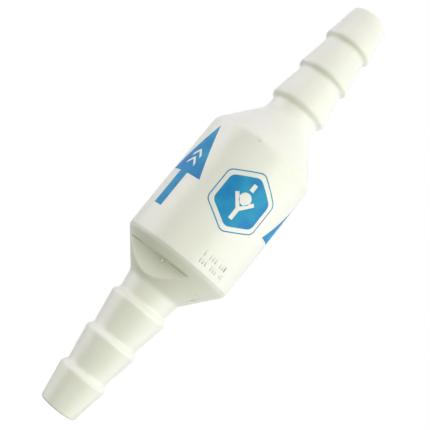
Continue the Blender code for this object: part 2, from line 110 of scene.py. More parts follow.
# Each softbox: azimuth and elevation in degrees, width and height in metres, power in watts, colour
SOFTBOXES = {
    "key_softbox": (117, 0, 0.25, 0.35, 0.42, (0.8, 0.78, 1.0)),
    "right_softbox": (75, 10, 0.25, 0.35, 0.86, (1.0, 1.0, 0.96)),
    "left_softbox": (-45, 0, 0.15, 0.35, 0.31, (1.0, 0.97, 0.96)),
    "high_left_softbox": (-45, 45, 0.2, 0.25, 0.28, (0.75, 0.7, 1.0)),
    "high_front_softbox": (27, 40, 0.25, 0.35, 0.24, (0.9, 0.86, 1.0)),
    "back_softbox": (207, 15, 0.2, 0.35, 0.36, (1.0, 0.98, 1.0)),
    "back_left_softbox": (-120, 10, 0.2, 0.35, 0.05, (0.9, 0.9, 1.0)),
    "left_strip": (-58, 0, 0.15, 0.45, 0.6, (0.87, 0.83, 1.0)),
    "left_back_strip": (-82, 0, 0.15, 0.45, 0.52, (0.86, 0.85, 1.0)),
}
OUT_OF_REFLECTIONS = ("back_softbox", "back_left_softbox")
IN_REFLECTIONS_ONLY = ("left_strip", "left_back_strip")

# How the turned surfaces are refined
SHELL_SIDES = 288
PIECE_SIDES = 96
SOFTNESS = 0.26 * MM             # radius of an ordinary moulded edge
RIDGE_SOFTNESS = 0.6 * MM        # radius of an edge that bends less than RIDGE_BEND
RIDGE_BEND = math.radians(60)
FILLET = 0.65 * MM               # radius in an inner corner
WIDE_FILLET = 1.5 * MM           # radius in one that bends less than SHALLOW_BEND
SHALLOW_BEND = math.radians(45)
SEAM_SOFTNESS = 0.015 * MM       # the two shells' edges where they are welded
CURVE_BEND = math.radians(24)    # a corner that bends less than this belongs to a curve
SMALLEST_BEND = math.radians(0.5)       # points that bend less than this are left out
CURVE_REACH = 0.48               # how far along its edges, as a share, a corner's arc may start
ARC_STEP = math.radians(9)
SUPPORT = 0.05 * MM              # extra rings this close to each edge keep the shading crisp
LONGEST_SPAN = 0.8 * MM

# The rim where the cap's cone meets the cylinder
RIM_LAND = 0.15 * MM
CONE_TOP = CAP_RIM - RIM_LAND
CONE_FOOT_RADIUS = 3.75 * MM
CONE_LENGTH = 4.45 * MM
CONE_SPREAD = (BODY_RADIUS - CONE_FOOT_RADIUS) / CONE_LENGTH
RIM_BLEND = 0.34 * MM            # how much the rounding takes off the two sides' meeting
RIM_RING_STEP = 0.04 * MM

# Wrench flats
FLAT_DISTANCE = 4.3 * MM         # from the axis
LEDGE_DROP = 1.3 * MM            # below the cap's face
LEDGE = CAP_RIM - LEDGE_DROP
FLAT_LENGTH = 6.5 * MM           # at least as far as the flats reach below their ledges
FLAT_BLEND = 0.12 * MM
LEDGE_BLEND = 0.07 * MM
FLAT_RING_STEP = 0.07 * MM
LEDGE_RING_STEP = 0.02 * MM

# Print
INK_THICKNESS = 0.012 * MM
INK_DEPTH = 0.03 * MM            # how far the ink's underside lies inside the plastic
WRAP_STEP = 0.25 * MM
LEFT_ARROW_AZIMUTH = math.radians(-27.3)
LEFT_ARROW_WIDTH = 6.1 * MM
RIGHT_ARROW_AZIMUTH = math.radians(117.0)
RIGHT_ARROW_WIDTH = 8.4 * MM
LEFT_ARROW_FOOT = 3.4 * MM       # above the rim
RIGHT_ARROW_FOOT = 3.1 * MM
ARROW_LENGTH = 12.3 * MM
ARROW_HEAD = 7.25 * MM
ARROW_SHAFT = 1.53 * MM
CHEVRON_WIDTH = 1.7 * MM
CHEVRON_STROKE = 0.34 * MM
CHEVRON_HEIGHTS = (1.9 * MM, 3.1 * MM)   # above the foot of the arrow's head
BADGE_AZIMUTH = math.radians(41.0)
BADGE_HEIGHT = 9.5 * MM          # its centre, above the rim
BADGE_RADIUS = 3.6 * MM
BADGE_CORNER = 1.0 * MM
BADGE_RING = 4.4 * MM
BADGE_RING_STROKE = 0.16 * MM
BADGE_TURN = math.radians(30)
BALL_RADIUS = 0.8 * MM
BALL_HEIGHT = 0.45 * MM          # heights in the badge are above its centre
SEAT_MOUTH = 1.55 * MM           # half widths of the seat's funnel and of its stem
SEAT_STEM = 0.28 * MM
SEAT_STEM_TOP = -1.1 * MM
SEAT_STEM_FOOT = -2.5 * MM
SEAT_INNER_MOUTH = 1.15 * MM
SEAT_INNER_TOP = 0.75 * MM
SEAT_INNER_FOOT = -0.65 * MM
OUTLET_LINE = (1.6 * MM, 2.6 * MM)

# Raised moulding marks
TALLY_AZIMUTH = math.radians(59.0)
TALLY_WIDTH = 4.0 * MM
TALLY_ROWS = (1.1 * MM, 2.1 * MM)       # above the rim
TALLY_COUNT = 10                 # places in a row, of which every fourth stays empty
TALLY_GAP = 4
TALLY_STROKE = 0.15 * MM
TALLY_HEIGHT = 0.62 * MM
TALLY_RELIEF = 0.03 * MM
PARTING_WIRE = 0.035 * MM
PARTING_RELIEF = 0.018 * MM
PARTING_STEP = 0.12 * MM
PIP_SIDES = 24
RIM_PIP_RADIUS = 0.28 * MM
RIM_PIP_HEIGHT = 0.26 * MM
FLAT_PIP_RADIUS = 0.38 * MM
FLAT_PIP_HEIGHT = 0.42 * MM
FLAT_PIP_SIDE = 0.6 * MM         # towards +X
FLAT_PIP_DROP = 1.58 * MM        # below the rim
RIM_PIP_AZIMUTH = math.radians(17.4)
RIM_PIP_DROP = 0.25 * MM         # below the upper rim
PIN_MARKS = (                    # azimuth, and how far below the cone's top
    (math.radians(80), 2.1 * MM),
    (math.radians(90.5), 2.7 * MM),
)
PIN_MARK_RADIUS = 0.3 * MM
PIN_MARK_WIRE = 0.05 * MM
PIN_MARK_SIDES = 32

# Springs and rings of wire
SPRING_WIRE = 0.2 * MM
SPRING_ACTIVE_TURNS = 4.5
SPRING_END_TURNS = 1.25
SPRING_END_PITCH = 2.3 * SPRING_WIRE
SPRING_STEPS = 40                # points in a turn
LOCK_RING_SWEEP = math.radians(318)
LOCK_RING_STEPS = 120

# Inner pieces: the body that each rides on and its material slot
TURNED_PIECES = {
    "body_seal_ring": ("root", "black_rubber"),
    "inlet_filter": ("root", "sintered_bronze"),
    "filter_retaining_ring": ("root", "steel"),
    "seat_gasket": ("root", "ptfe"),
    "seat_insert": ("root", "brass"),
    "seat_retaining_ring": ("root", "steel"),
    "spring_seat_washer": ("root", "steel"),
    "stop_bumper": ("root", "black_rubber"),
    "guide_bush": ("root", "ptfe"),
    "poppet": ("poppet", "acetal"),
    "poppet_seal": ("poppet", "red_silicone"),
    "seal_clamp_washer": ("poppet", "steel"),
    "poppet_spring_washer": ("poppet", "steel"),
}
INNER_SOFTNESS = 0.04 * MM
CUT_PIECES = {
    "guide_spider": ("root", "acetal"),
    "seal_clamp_screw": ("poppet", "steel"),
    "stem_clip": ("poppet", "steel"),
}
CUT_EDGE = 0.035 * MM
CUT_BEND = math.radians(40)      # an edge that bends more than this is broken


# ---------------------------------------------------------------- turned surfaces

def outline_of(node):
    """The (radius, height) outline of a turned CAD node, read along its +X side, and if it is a loop."""
    bm = bmesh.new()
    bm.from_mesh(frame["nodes"][node].data)
    bmesh.ops.remove_doubles(bm, verts=bm.verts, dist=1e-6)
    side = {v for v in bm.verts if abs(v.co.y) < 1e-6 and v.co.x > -1e-6}
    ties = {v: [] for v in side}
    for edge in bm.edges:
        a, b = edge.verts
        if a in side and b in side:
            ties[a].append(b)
            ties[b].append(a)
    ends = [v for v in side if len(ties[v]) == 1]
    start = min(ends or side, key=lambda v: (v.co.x, v.co.z))
    path, last, here = [start], None, start
    while True:
        onward = [v for v in ties[here] if v is not last and v not in path]
        if not onward:
            break
        last, here = here, onward[0]
        path.append(here)
    points = [Vector((max(v.co.x, 0), v.co.z)) for v in path]
    bm.free()
    return points, not ends


def turns_left(points):
    """Whether a loop runs so that its inside is on its left."""
    pairs = zip(points, points[1:] + points[:1])
    return sum(here.x * there.y - there.x * here.y for here, there in pairs) > 0


def moulded(bend, inner):
    """The radius of a shell's corner, by its bend and whether it is an inner one."""
    if inner:
        return WIDE_FILLET if bend < SHALLOW_BEND else FILLET
    return RIDGE_SOFTNESS if bend < RIDGE_BEND else SOFTNESS


def even(radius):
    """The same radius for every corner."""
    return lambda bend, inner: radius


def eased(start, corner, end, bend):
    """Points along the curve that leads past a corner from start to end."""
    steps = max(2, math.ceil(bend / ARC_STEP))
    shares = [step / steps for step in range(steps + 1)]
    return [start * (1 - t) ** 2 + corner * 2 * t * (1 - t) + end * t**2 for t in shares]


def rounded(points, loop, radius_of, seam=None):
    """The outline with an arc at each corner. Corners that bend little become one smooth curve.

    radius_of(bend, inner) gives a corner's radius. Corners at the height of the seam stay nearly sharp.
    """
    count = len(points)
    left = turns_left(points)
    result = []
    for index, here in enumerate(points):
        if not loop and index in (0, count - 1):
            result.append(here)
            continue
        before = points[index - 1]
        after = points[(index + 1) % count]
        inward = (here - before).normalized()
        outward = (after - here).normalized()
        bend = inward.angle(outward)
        if bend < SMALLEST_BEND:
            continue
        reach = CURVE_REACH * min((here - before).length, (after - here).length)
        if bend > CURVE_BEND:
            inner = (inward.cross(outward) > 0) != left
            at_seam = seam is not None and abs(here.y - seam) < SEAM_SOFTNESS
            radius = SEAM_SOFTNESS if at_seam else radius_of(bend, inner)
            reach = min(reach, radius * math.tan(bend / 2))
        result += eased(here - inward * reach, here, here + outward * reach, bend)
    return result


def supported(points, loop):
    """The outline with extra points beside its edges and along its long straight stretches."""
    result = []
    pairs = list(zip(points, points[1:] + points[:1])) if loop else list(zip(points, points[1:]))
    for here, there in pairs:
        result.append(here)
        length = (there - here).length
        if length > 4 * SUPPORT:
            share = SUPPORT / length
            inner = max(1, math.ceil((length - 2 * SUPPORT) / LONGEST_SPAN))
            for step in range(inner + 1):
                result.append(here.lerp(there, share + (1 - 2 * share) * step / inner))
    if not loop:
        result.append(points[-1])
    return result


def turn(name, points, loop, sides, shape=None):
    """A mesh turned about Z. shape(radius, height, angle) may change a point's radius."""
    verts = []
    for side in range(sides):
        angle = math.tau * side / sides
        across, along = math.sin(angle), -math.cos(angle)
        for point in points:
            radius = shape(point.x, point.y, angle) if shape else point.x
            verts.append((radius * across, radius * along, point.y))
    count = len(points)
    faces = []
    for side in range(sides):
        here, there = side * count, (side + 1) % sides * count
        for index in range(count if loop else count - 1):
            onward = (index + 1) % count
            faces.append((here + index, there + index, there + onward, here + onward))
    mesh = bpy.data.meshes.new(name)
    mesh.from_pydata(verts, [], faces)
    return finish_mesh(name, mesh, merge=True)


def finish_mesh(name, mesh, merge=False):
    """Links a mesh as a smooth object with outward faces."""
    bm = bmesh.new()
    bm.from_mesh(mesh)
    if merge:
        bmesh.ops.remove_doubles(bm, verts=bm.verts, dist=1e-8)
        bmesh.ops.dissolve_degenerate(bm, edges=bm.edges, dist=1e-8)
    bmesh.ops.recalc_face_normals(bm, faces=bm.faces)
    bm.to_mesh(mesh)
    bm.free()
    mesh.shade_smooth()
    piece = bpy.data.objects.new(name, mesh)
    bpy.context.scene.collection.objects.link(piece)
    return piece


def settle(piece, body, material, slot, *nodes):
    """Gives a piece its material and its body, and hides the CAD nodes that it stands for. The slot is
    not used.
    """
    piece.data.materials.clear()
    piece.data.materials.append(material)
    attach(piece, body)
    if nodes:
        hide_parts(*nodes)
    return piece


# ---------------------------------------------------------------- shells

def smaller(a, b, blend):
    """The smaller of two lengths, with a rounded crossover."""
    near = max(blend - abs(a - b), 0) / blend
    return min(a, b) - near * near * blend / 4


def rim_rounding(radius, height):
    """Rounds the corner between the cylinder and the cap's cone."""
    if abs(height - CONE_TOP) > 3 * RIM_BLEND:
        return radius
    cone = BODY_RADIUS + (height - CONE_TOP) * CONE_SPREAD
    return min(radius, smaller(BODY_RADIUS, cone, RIM_BLEND))


def housing_shape(radius, height, angle):
    """The housing's outside is the same all round."""
    return rim_rounding(radius, height)


def cap_shape(radius, height, angle):
    """The cap's outside: a rounded rim, and the two wrench flats below their ledges."""
    radius = rim_rounding(radius, height)
    if radius < FLAT_DISTANCE or height > LEDGE + LEDGE_BLEND:
        return radius
    facing = max(abs(math.cos(angle)), 1e-3)
    cut = min(smaller(radius, FLAT_DISTANCE / facing, FLAT_BLEND), radius)
    t = min(max((LEDGE + LEDGE_BLEND - height) / (2 * LEDGE_BLEND), 0), 1)
    weight = t * t * (3 - 2 * t)
    return radius + weight * (cut - radius)


def ring_step(height):
    """How far apart a shell's rings lie on its outside, at a height. None leaves them as they are."""
    if abs(height - CONE_TOP) < 3 * RIM_BLEND:
        return RIM_RING_STEP
    if abs(height - LEDGE) < 3 * LEDGE_BLEND:
        return LEDGE_RING_STEP
    if LEDGE - FLAT_LENGTH < height < LEDGE:
        return FLAT_RING_STEP
    return None


def finer(points):
    """The outline with more points round the rim, the flats and their ledges."""
    result = []
    for here, there in zip(points, points[1:] + points[:1]):
        result.append(here)
        low, high = sorted((here.y, there.y))
        if min(here.x, there.x) < FLAT_DISTANCE - 5 * FLAT_BLEND or high - low < LEDGE_RING_STEP:
            continue
        places = []
        place = low
        while place < high:
            place += ring_step(place) or LONGEST_SPAN
            if place < high - LEDGE_RING_STEP / 2:
                places.append(place)
        if here.y > there.y:
            places.reverse()
        for place in places:
            result.append(here.lerp(there, (place - here.y) / (there.y - here.y)))
    return result


def shell_outline(node, seam):
    """The node's outline with its moulded edges rounded."""
    points, loop = outline_of(node)
    return supported(rounded(points, loop, moulded, seam), loop)


def make_shells(plastic):
    """The two shells meet at their seam, because the real ones are welded there."""
    housing_points = shell_outline("outlet_housing", RIM)
    cap_points = shell_outline("inlet_cap", CAP_RIM)
    for point in housing_points:
        if point.y < RIM + SEAM_SOFTNESS / 2:
            point.y = CAP_RIM
    housing = turn("housing_shell", finer(housing_points), True, SHELL_SIDES, housing_shape)
    settle(housing, "root", plastic, "white_plastic", "outlet_housing")
    cap = turn("inlet_shell", finer(cap_points), True, SHELL_SIDES, cap_shape)
    settle(cap, "root", plastic, "white_plastic", "inlet_cap")
    return housing_points, cap_points


# ---------------------------------------------------------------- print and moulding marks

def wrapped(across, height, outward, azimuth):
    """A point given across and up a flat sheet, bent round the body."""
    angle = azimuth + across / BODY_RADIUS
    radius = BODY_RADIUS + outward
    return Vector((radius * math.sin(angle), -radius * math.cos(angle), height))


def arc(centre, radius, start, end, steps):
    """Points along an arc, in a flat sheet."""
    points = []
    for step in range(steps + 1):
        angle = start + (end - start) * step / steps
        points.append((centre[0] + radius * math.cos(angle), centre[1] + radius * math.sin(angle)))
    return points


def circle(centre, radius, sides):
    """The corners of a many-sided circle."""
    return arc(centre, radius, 0, math.tau * (sides - 1) / sides, sides - 1)


def chevron(centre, width, stroke):
    """An upward chevron whose lines slope at 45 degrees."""
    x, y = centre
    half = width / 2
    upright = stroke * 1.4       # the stroke's thickness along Y, about the square root of 2 times it
    return [
        (x - half, y - half),
        (x, y),
        (x + half, y - half),
        (x + half, y - half + upright),
        (x, y + upright),
        (x - half, y - half + upright),
    ]


def rounded_polygon(radius, corner, sides, start):
    """A regular polygon with rounded corners, given by its corners' distance from the centre."""
    points = []
    inner = radius - corner / math.cos(math.pi / sides)
    for index in range(sides):
        angle = start + math.tau * index / sides
        centre = (inner * math.cos(angle), inner * math.sin(angle))
        points += arc(centre, corner, angle - math.pi / sides, angle + math.pi / sides, 6)
    return points


def add_spline(curve, points, closed):
    """Adds straight lines through the points to a curve."""
    spline = curve.splines.new("POLY")
    spline.points.add(len(points) - 1)
    for place, point in zip(spline.points, points):
        place.co = (*point, 1)
    spline.use_cyclic_u = closed


def mesh_of(curve):
    """The curve's surface as a mesh."""
    source = bpy.data.objects.new(curve.name + "_source", curve)
    mesh = bpy.data.meshes.new_from_object(source)
    bpy.data.objects.remove(source)
    return mesh


def sheet(name, outlines):
    """A flat sheet in millimetres, filled between the outlines."""
    curve = bpy.data.curves.new(name, "CURVE")
    curve.dimensions = "2D"
    curve.fill_mode = "BOTH"
    for outline in outlines:
        add_spline(curve, [(x / MM, y / MM, 0) for x, y in outline], True)
    return mesh_of(curve)


def slice_upright(bm, step):
    """Cuts a flat sheet into upright strips, so that it can bend."""
    low = min(v.co.x for v in bm.verts)
    high = max(v.co.x for v in bm.verts)
    for index in range(1, math.ceil((high - low) / step)):
        everything = bm.verts[:] + bm.edges[:] + bm.faces[:]
        place = (low + index * step, 0, 0)
        bmesh.ops.bisect_plane(bm, geom=everything, plane_co=place, plane_no=(1, 0, 0))


def printed(name, outlines, azimuth, height, ink):
    """Ink on the body: outlines inside others are holes in it."""
    mesh = sheet(name, outlines)
    bm = bmesh.new()
    bm.from_mesh(mesh)
    bmesh.ops.remove_doubles(bm, verts=bm.verts, dist=1e-5)
    slice_upright(bm, WRAP_STEP / MM)
    grown = bmesh.ops.extrude_face_region(bm, geom=bm.faces[:])
    raised = {item for item in grown["geom"] if isinstance(item, bmesh.types.BMVert)}
    for vert in bm.verts:
        outward = INK_THICKNESS if vert in raised else -INK_DEPTH
        vert.co = wrapped(vert.co.x * MM, height + vert.co.y * MM, outward, azimuth)
    bm.to_mesh(mesh)
    bm.free()
    piece = finish_mesh(name, mesh)
    mesh.set_sharp_from_angle(angle=math.radians(40))
    return settle(piece, "root", ink, "blue_ink")


def arrow_outlines(width):
    """A flow arrow from its foot at (0, 0), with two small chevrons left open in its head."""
    neck = ARROW_LENGTH - ARROW_HEAD
    half_head, half_shaft = width / 2, ARROW_SHAFT / 2
    body = [
        (-half_shaft, 0),
        (half_shaft, 0),
        (half_shaft, neck),
        (half_head, neck),
        (0, ARROW_LENGTH),
        (-half_head, neck),
        (-half_shaft, neck),
    ]
    return [body] + [chevron((0, neck + up), CHEVRON_WIDTH, CHEVRON_STROKE) for up in CHEVRON_HEIGHTS]


def badge_outlines():
    """A six-sided badge with the usual sign for a non-return valve: a ball in a seat, and a line."""
    badge = rounded_polygon(BADGE_RADIUS, BADGE_CORNER, 6, BADGE_TURN)
    ball = circle((0, BALL_HEIGHT), BALL_RADIUS, 36)
    seat = [
        (-SEAT_MOUTH, BALL_HEIGHT),
        (-SEAT_STEM, SEAT_STEM_TOP),
        (-SEAT_STEM, SEAT_STEM_FOOT),
        (SEAT_STEM, SEAT_STEM_FOOT),
        (SEAT_STEM, SEAT_STEM_TOP),
        (SEAT_MOUTH, BALL_HEIGHT),
        (SEAT_INNER_MOUTH, SEAT_INNER_TOP),
        (0, SEAT_INNER_FOOT),
        (-SEAT_INNER_MOUTH, SEAT_INNER_TOP),
    ]
    low, high = OUTLET_LINE
    outlet = [(-SEAT_STEM, low), (-SEAT_STEM, high), (SEAT_STEM, high), (SEAT_STEM, low)]
    return [badge, ball, seat, outlet]


def badge_frame_outlines():
    """The thin line round the badge."""
    outer = rounded_polygon(BADGE_RING, BADGE_CORNER, 6, BADGE_TURN)
    inner = rounded_polygon(BADGE_RING - BADGE_RING_STROKE, BADGE_CORNER * 0.9, 6, BADGE_TURN)
    return [outer, inner]


def make_print(ink):
    """Two flow arrows, and the badge in its frame between them."""
    left = arrow_outlines(LEFT_ARROW_WIDTH)
    right = arrow_outlines(RIGHT_ARROW_WIDTH)
    printed("left_arrow", left, LEFT_ARROW_AZIMUTH, RIM + LEFT_ARROW_FOOT, ink)
    printed("right_arrow", right, RIGHT_ARROW_AZIMUTH, RIM + RIGHT_ARROW_FOOT, ink)
    printed("badge", badge_outlines(), BADGE_AZIMUTH, RIM + BADGE_HEIGHT, ink)
    printed("badge_frame", badge_frame_outlines(), BADGE_AZIMUTH, RIM + BADGE_HEIGHT, ink)


def make_tally_marks(plastic):
    """Two rows of short raised strokes, as moulded date marks have, with no lettering."""
    bm = bmesh.new()
    for row, height in enumerate(TALLY_ROWS):
        for index in range(TALLY_COUNT):
            if (index + 2 * row) % TALLY_GAP == TALLY_GAP - 1:
                continue
            across = TALLY_WIDTH * (index / (TALLY_COUNT - 1) - 0.5)
            made = bmesh.ops.create_cube(bm, size=1)
            for vert in made["verts"]:
                x = across + vert.co.x * TALLY_STROKE
                z = RIM + height + vert.co.z * TALLY_HEIGHT
                vert.co = wrapped(x, z, vert.co.y * 2 * TALLY_RELIEF, TALLY_AZIMUTH)
    bmesh.ops.bevel(bm, geom=bm.edges[:], offset=TALLY_RELIEF * 0.6, segments=2, affect="EDGES")
    mesh = bpy.data.meshes.new("tally_marks")
    bm.to_mesh(mesh)
    bm.free()
    settle(finish_mesh("tally_marks", mesh), "root", plastic, "white_plastic")


def outer_radius(points, height):
    """The radius of an outline's outside at a height."""
    radii = []
    for here, there in zip(points, points[1:] + points[:1]):
        low, high = sorted((here.y, there.y))
        if low <= height <= high and high > low:
            radii.append(here.x + (there.x - here.x) * (height - here.y) / (there.y - here.y))
    return max(radii)


def wire(name, points, radius, closed=False, resolution=5):
    """A round wire along the points, as a mesh."""
    curve = bpy.data.curves.new(name, "CURVE")
    curve.dimensions = "3D"
    curve.bevel_depth = radius
    curve.bevel_resolution = resolution
    curve.use_fill_caps = not closed
    add_spline(curve, points, closed)
    return finish_mesh(name, mesh_of(curve))


def make_parting_lines(plastic, housing_points, cap_points):
    """The fine ridges that the mould's halves leave along both sides, apart from the cylinder."""
    spans = (
        ("cap", cap_points, CAP_LOW.z, RIM - 2 * RIM_BLEND),
        ("housing", housing_points, UPPER_RIM, HOUSING_HIGH.z),
    )
    for name, points, low, high in spans:
        steps = round((high - low) / PARTING_STEP)
        heights = [low + (high - low) * (step + 0.5) / steps for step in range(steps)]
        for side, sign in (("right", 1), ("left", -1)):
            path = []
            for height in heights:
                radius = outer_radius(points, height) + PARTING_RELIEF - PARTING_WIRE
                path.append((sign * radius, 0, height))
            ridge = wire("parting_line_" + name + "_" + side, path, PARTING_WIRE, resolution=2)
            settle(ridge, "root", plastic, "white_plastic")


def seated(piece, place, outward):
    """Moves a small piece made on the XY plane onto a surface at a place."""
    turn_out = outward.to_track_quat("Z", "Y").to_matrix().to_4x4()
    piece.data.transform(Matrix.Translation(place) @ turn_out)
    return piece


def pip(name, radius, height):
    """The stub that a mould's gate leaves: a low dome with a dimple."""
    outline = [
        Vector((0, 0.6 * height)),
        Vector((0.3 * radius, 0.7 * height)),
        Vector((0.65 * radius, height)),
        Vector((0.9 * radius, 0.65 * height)),
        Vector((radius, -height)),
    ]
    return turn(name, rounded(outline, False, even(radius / 4)), False, PIP_SIDES)


def make_pips(plastic):
    """One pip on the front flat, just under the ledge, and one on the upper rim."""
    front = Vector((0, -1, 0))
    flat_pip = pip("flat_pip", FLAT_PIP_RADIUS, FLAT_PIP_HEIGHT)
    seated(flat_pip, Vector((FLAT_PIP_SIDE, -FLAT_DISTANCE, RIM - FLAT_PIP_DROP)), front)
    settle(flat_pip, "root", plastic, "white_plastic")
    around = Vector((math.sin(RIM_PIP_AZIMUTH), -math.cos(RIM_PIP_AZIMUTH), 0))
    rim_pip = pip("rim_pip", RIM_PIP_RADIUS, RIM_PIP_HEIGHT)
    centre = Vector((0, 0, UPPER_RIM - RIM_PIP_DROP))
    seated(rim_pip, centre + around * (BODY_RADIUS - RIM_PIP_HEIGHT / 2), around)
    settle(rim_pip, "root", plastic, "white_plastic")


def make_pin_marks(plastic):
    """The small round marks that ejector pins leave on the cap's cone."""
    for index, (azimuth, drop) in enumerate(PIN_MARKS):
        around = Vector((math.sin(azimuth), -math.cos(azimuth), 0))
        outward = (around - Vector((0, 0, CONE_SPREAD))).normalized()
        place = around * (BODY_RADIUS - drop * CONE_SPREAD) + Vector((0, 0, CONE_TOP - drop))
        ring = [(*point, 0) for point in circle((0, 0), PIN_MARK_RADIUS, PIN_MARK_SIDES)]
        mark = wire("pin_mark_%d" % (index + 1), ring, PIN_MARK_WIRE, closed=True, resolution=3)
        settle(seated(mark, place, outward), "root", plastic, "white_plastic")


# ---------------------------------------------------------------- materials

def new_material(name, roughness, metallic=0.0, **constants):
    """A Principled material. Constants go straight onto the shader's sockets."""
    material = bpy.data.materials.new(name)
    material.use_nodes = True
    shader = material.node_tree.nodes["Principled BSDF"]
    shader.inputs["Roughness"].default_value = roughness
    shader.inputs["Metallic"].default_value = metallic
    for socket, value in constants.items():
        shader.inputs[socket.replace("_", " ")].default_value = value
    return material, material.node_tree, shader


def noise(tree, scale, detail=4.0, stretch=(1, 1, 1)):
    """Noise in the piece's own space, in features per metre."""
    place = tree.nodes.new("ShaderNodeTexCoord")
    mapping = tree.nodes.new("ShaderNodeMapping")
    mapping.inputs["Scale"].default_value = stretch
    texture = tree.nodes.new("ShaderNodeTexNoise")
    texture.inputs["Scale"].default_value = scale
    texture.inputs["Detail"].default_value = detail
    tree.links.new(place.outputs["Object"], mapping.inputs["Vector"])
    tree.links.new(mapping.outputs["Vector"], texture.inputs["Vector"])
    return texture.outputs["Fac"]


def colour_between(tree, shader, fac, low, high, start=0.3, end=0.7):
    """The base colour runs from one colour to the other with the pattern."""
    ramp = tree.nodes.new("ShaderNodeValToRGB")
    ramp.color_ramp.elements[0].position = start
    ramp.color_ramp.elements[0].color = (*low, 1)
    ramp.color_ramp.elements[1].position = end
    ramp.color_ramp.elements[1].color = (*high, 1)
    tree.links.new(fac, ramp.inputs["Fac"])
    tree.links.new(ramp.outputs["Color"], shader.inputs["Base Color"])


def roughness_between(tree, shader, fac, low, high):
    """The roughness runs between two values with the pattern."""
    spread = tree.nodes.new("ShaderNodeMapRange")
    spread.inputs["From Min"].default_value = 0.3
    spread.inputs["From Max"].default_value = 0.7
    spread.inputs["To Min"].default_value = low
    spread.inputs["To Max"].default_value = high
    tree.links.new(fac, spread.inputs["Value"])
    tree.links.new(spread.outputs["Result"], shader.inputs["Roughness"])


def bump(tree, shader, fac, strength, depth):
    """A relief of the given depth in metres."""
    relief = tree.nodes.new("ShaderNodeBump")
    relief.inputs["Strength"].default_value = strength
    relief.inputs["Distance"].default_value = depth
    tree.links.new(fac, relief.inputs["Height"])
    tree.links.new(relief.outputs["Normal"], shader.inputs["Normal"])


def white_plastic():
    """Moulded plastic with a faint grain that lets a little light in."""
    material, tree, shader = new_material(
        "white_plastic",
        0.25,
        IOR=1.47,
        Subsurface_Weight=0.3,
        Subsurface_Scale=0.0006,
        Subsurface_Radius=(1.0, 0.95, 0.7),
    )
    colour_between(tree, shader, noise(tree, 180), (0.80, 0.815, 0.715), (0.835, 0.845, 0.76))
    roughness_between(tree, shader, noise(tree, 600), 0.285, 0.35)
    bump(tree, shader, noise(tree, 1500, 2), 0.08, 0.00002)
    return material


def blue_ink():
    """Dull print, a little uneven."""
    material, tree, shader = new_material("blue_ink", 0.55, Specular_IOR_Level=0.2)
    thin, thick = (0.012, 0.21, 0.49), (0.024, 0.31, 0.52)
    colour_between(tree, shader, noise(tree, 420, 6), thin, thick, 0.35, 0.65)
    roughness_between(tree, shader, noise(tree, 1500), 0.45, 0.65)
    bump(tree, shader, noise(tree, 6000, 3), 0.15, 0.00001)
    return material


def rubber(name, low, high):
    """Matt rubber between two colours."""
    material, tree, shader = new_material(name, 0.55, IOR=1.5)
    colour_between(tree, shader, noise(tree, 900), low, high)
    roughness_between(tree, shader, noise(tree, 2500), 0.45, 0.7)
    bump(tree, shader, noise(tree, 5000), 0.3, 0.00002)
    return material


def turned_metal(name, low, high, rough_low, rough_high):
    """Metal with fine tool marks square to the axis."""
    material, tree, shader = new_material(name, rough_low, 1.0)
    marks = noise(tree, 900, 5, (0.15, 0.15, 6))
    colour_between(tree, shader, noise(tree, 400), low, high)
    roughness_between(tree, shader, marks, rough_low, rough_high)
    bump(tree, shader, marks, 0.25, 0.00001)
    return material


def sintered_bronze():
    """Grains of bronze with dark gaps between them: the gaps are recessed, and their dark colour is
    painted shade in the pores.
    """
    material, tree, shader = new_material("sintered_bronze", 0.75, 1.0)
    place = tree.nodes.new("ShaderNodeTexCoord")
    grains = tree.nodes.new("ShaderNodeTexVoronoi")
    grains.inputs["Scale"].default_value = 5500
    tree.links.new(place.outputs["Object"], grains.inputs["Vector"])
    # gap is painted shade in the pores between the grains
    grain, gap = (0.62, 0.42, 0.22), (0.16, 0.1, 0.05)
    colour_between(tree, shader, grains.outputs["Distance"], grain, gap, 0.1, 0.8)
    roughness_between(tree, shader, noise(tree, 3000), 0.6, 0.85)
    bump(tree, shader, grains.outputs["Distance"], 0.8, -0.00006)
    return material


def dull_plastic(name, low, high):
    """Turned white plastic, with faint tool marks."""
    material, tree, shader = new_material(
        name,
        0.42,
        IOR=1.45,
        Subsurface_Weight=0.2,
        Subsurface_Scale=0.0008,
    )
    colour_between(tree, shader, noise(tree, 350), low, high)
    roughness_between(tree, shader, noise(tree, 900, 4, (0.2, 0.2, 5)), 0.36, 0.52)
    bump(tree, shader, noise(tree, 1200, 4, (0.2, 0.2, 5)), 0.2, 0.00001)
    return material


def make_materials():
    return {
        "white_plastic": white_plastic(),
        "blue_ink": blue_ink(),
        "black_rubber": rubber("black_rubber", (0.018, 0.018, 0.02), (0.04, 0.04, 0.042)),
        "red_silicone": rubber("red_silicone", (0.42, 0.055, 0.03), (0.58, 0.1, 0.06)),
        "brass": turned_metal("brass", (0.68, 0.48, 0.2), (0.78, 0.58, 0.28), 0.22, 0.4),
        "steel": turned_metal("steel", (0.55, 0.56, 0.57), (0.68, 0.69, 0.7), 0.18, 0.34),
        "sintered_bronze": sintered_bronze(),
        "acetal": dull_plastic("acetal", (0.74, 0.74, 0.69), (0.8, 0.8, 0.76)),
        "ptfe": dull_plastic("ptfe", (0.84, 0.84, 0.84), (0.9, 0.9, 0.89)),
    }


# ---------------------------------------------------------------- inner pieces

def make_turned_pieces(materials):
    """The round inner pieces, with their edges broken."""
    for node, (body, slot) in TURNED_PIECES.items():
        points, loop = outline_of(node)
        points = supported(rounded(points, loop, even(INNER_SOFTNESS)), loop)
        piece = turn("fine_" + node, points, loop, PIECE_SIDES)
        settle(piece, body, materials[slot], slot, node)


